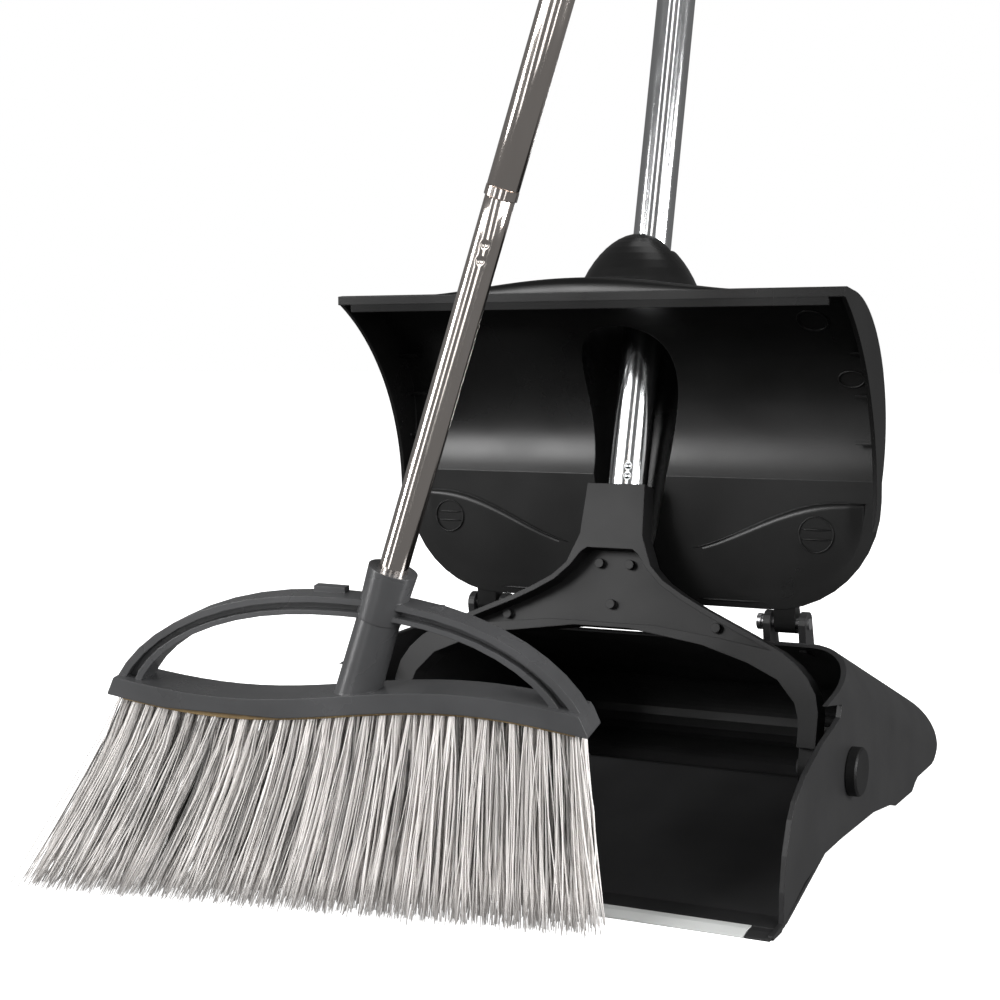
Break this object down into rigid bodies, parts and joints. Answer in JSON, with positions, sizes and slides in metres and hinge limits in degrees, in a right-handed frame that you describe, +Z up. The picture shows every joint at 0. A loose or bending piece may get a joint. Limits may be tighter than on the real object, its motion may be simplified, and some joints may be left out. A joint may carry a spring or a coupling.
{
  "type": "dust pan and brush set",
  "caption": "Upright lidded dust pan on a long tube handle, swinging in a yoke so that the lid closes when lifted, with a long-handled angled broom standing in front of it.",
  "frame": {"origin": "middle of the flat underside of the pan's front lip, on the floor", "axes": "+Z up from the floor, +Y from the pan's mouth towards its back, +X to the right as seen by someone who faces the mouth"},
  "size_m": [0.5791, 0.4664, 1.185],
  "materials": {
    "pan_plastic": "satin moulded polypropylene",
    "lid_plastic": "semi-gloss moulded polypropylene",
    "yoke_plastic": "satin moulded",
    "strip_plastic": "satin",
    "foot_rubber": "matte",
    "steel": "satin zinc",
    "pan_chrome": "polished",
    "broom_chrome": "polished, warm tint",
    "broom_plastic": "satin moulded",
    "block_glue": "rough, golden brown",
    "bristle": "dull filaments"
  },
  "bodies": {
    "handle": {"yoke": "yoke_plastic", "pivot_knob_left": "yoke_plastic", "pivot_knob_right": "yoke_plastic", "pivot_screw_left": "steel", "pivot_screw_right": "steel", "pan_tube_lower": "pan_chrome", "pan_tube_joiner": "yoke_plastic", "pan_tube_upper": "pan_chrome", "pan_grip": "yoke_plastic", "pan_hanger": "yoke_plastic"},
    "pan": {"pan_body": "pan_plastic", "lip_strip": "strip_plastic", "rear_foot_left": "foot_rubber", "rear_foot_right": "foot_rubber", "hinge_pin_left": "steel", "hinge_pin_right": "steel"},
    "lid": {"lid": "lid_plastic"},
    "broom": {"broom_frame": "broom_plastic", "brush_block": "block_glue", "bristle_row_front": "bristle", "bristle_row_middle": "bristle", "bristle_row_rear": "bristle", "broom_tube_lower": "broom_chrome", "broom_tube_joiner": "broom_chrome", "broom_tube_upper": "broom_chrome", "broom_grip": "broom_plastic", "broom_hanger": "broom_plastic"}
  },
  "joints": [
    {"name": "pan_swing", "type": "hinge", "parent": "handle", "child": "pan", "pos_m": [0, 0.1216, 0.0485], "axis": [-1, 0, 0], "range_deg": [0, 79]},
    {"name": "lid_swing", "type": "hinge", "parent": "pan", "child": "lid", "pos_m": [0, 0.1645, 0.115], "axis": [1, 0, 0], "range_deg": [0, 100.4]},
    {"name": "broom_lift", "type": "slide", "parent": "handle", "child": "broom", "axis": [0, 0, 1], "range_m": [0, 0.35]}
  ],
  "couplings": [
    {"joint": "lid_swing", "follows": "pan_swing", "ratio": 1.27}
  ]
}
